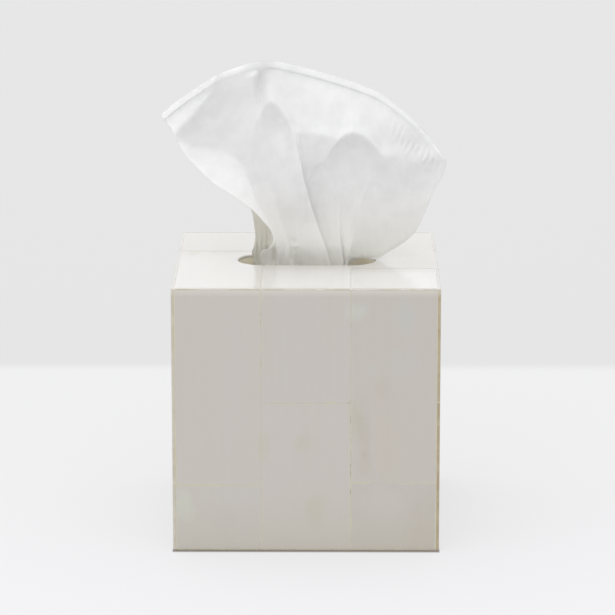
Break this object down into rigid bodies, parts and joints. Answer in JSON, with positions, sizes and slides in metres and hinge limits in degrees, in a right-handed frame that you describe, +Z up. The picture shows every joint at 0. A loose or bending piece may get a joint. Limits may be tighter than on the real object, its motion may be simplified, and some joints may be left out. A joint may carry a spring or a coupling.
{
  "type": "tissue box holder",
  "caption": "Square open-bottomed tissue box cover clad in polished bone tiles, standing over its carton, with a tissue raised through the rounded slot in its top",
  "frame": {"origin": "the middle of the cover's base, on the surface it stands on", "axes": "+Z up; the front, with the view over the long side of the slot, faces -Y; the slot runs along X; left is -X"},
  "size_m": [0.1455, 0.1334, 0.237],
  "materials": {
    "bone": "polished",
    "resin": "gloss",
    "fibreboard": "satin",
    "paperboard": "matte",
    "tissue_pack": "matte",
    "tissue_paper": "matte"
  },
  "bodies": {
    "root": {"back_joint_fill": "resin", "back_tile_left_lower": "bone", "back_tile_left_upper": "bone", "back_tile_middle_lower": "bone", "back_tile_middle_upper": "bone", "back_tile_right_lower": "bone", "back_tile_right_upper": "bone", "carton": "paperboard", "core_back_panel": "fibreboard", "core_front_panel": "fibreboard", "core_left_panel": "fibreboard", "core_right_panel": "fibreboard", "core_top_panel": "fibreboard", "front_joint_fill": "resin", "front_tile_left_lower": "bone", "front_tile_left_upper": "bone", "front_tile_middle_lower": "bone", "front_tile_middle_upper": "bone", "front_tile_right_lower": "bone", "front_tile_right_upper": "bone", "left_joint_fill": "resin", "left_tile_back_lower": "bone", "left_tile_back_upper": "bone", "left_tile_front_lower": "bone", "left_tile_front_upper": "bone", "left_tile_middle_lower": "bone", "left_tile_middle_upper": "bone", "right_joint_fill": "resin", "right_tile_back_lower": "bone", "right_tile_back_upper": "bone", "right_tile_front_lower": "bone", "right_tile_front_upper": "bone", "right_tile_middle_lower": "bone", "right_tile_middle_upper": "bone", "tissue": "tissue_paper", "tissue_stack": "tissue_pack", "top_joint_fill": "resin", "top_tile_left_back": "bone", "top_tile_left_front": "bone", "top_tile_middle_back": "bone", "top_tile_middle_front": "bone", "top_tile_right_back": "bone", "top_tile_right_front": "bone"}
  },
  "joints": []
}
